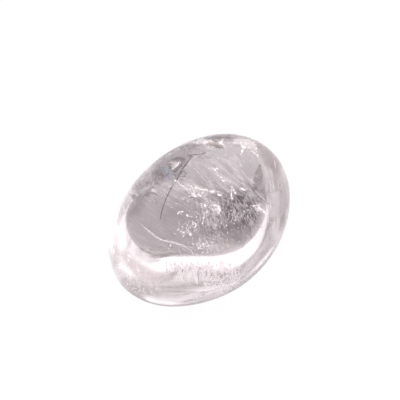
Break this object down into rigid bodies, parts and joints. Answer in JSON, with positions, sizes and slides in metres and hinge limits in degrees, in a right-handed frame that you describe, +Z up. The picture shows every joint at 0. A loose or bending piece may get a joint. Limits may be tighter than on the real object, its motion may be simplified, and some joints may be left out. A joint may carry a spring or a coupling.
{
  "type": "tumbled stone",
  "caption": "Rounded oval pebble of clear, faintly pink quartz with a glassy tumbled polish and a small flat spot to rest on.",
  "frame": {"origin": "on the surface the stone rests on, under the middle of its bounding box", "axes": "+X along the stone's length, +Y across its width, +Z up from the resting flat"},
  "size_m": [0.03, 0.0222, 0.0142],
  "materials": {
    "quartz": "tumbled to a glassy polish, clear with a pale pink tinge"
  },
  "bodies": {
    "root": {"stone": "quartz"}
  },
  "joints": []
}
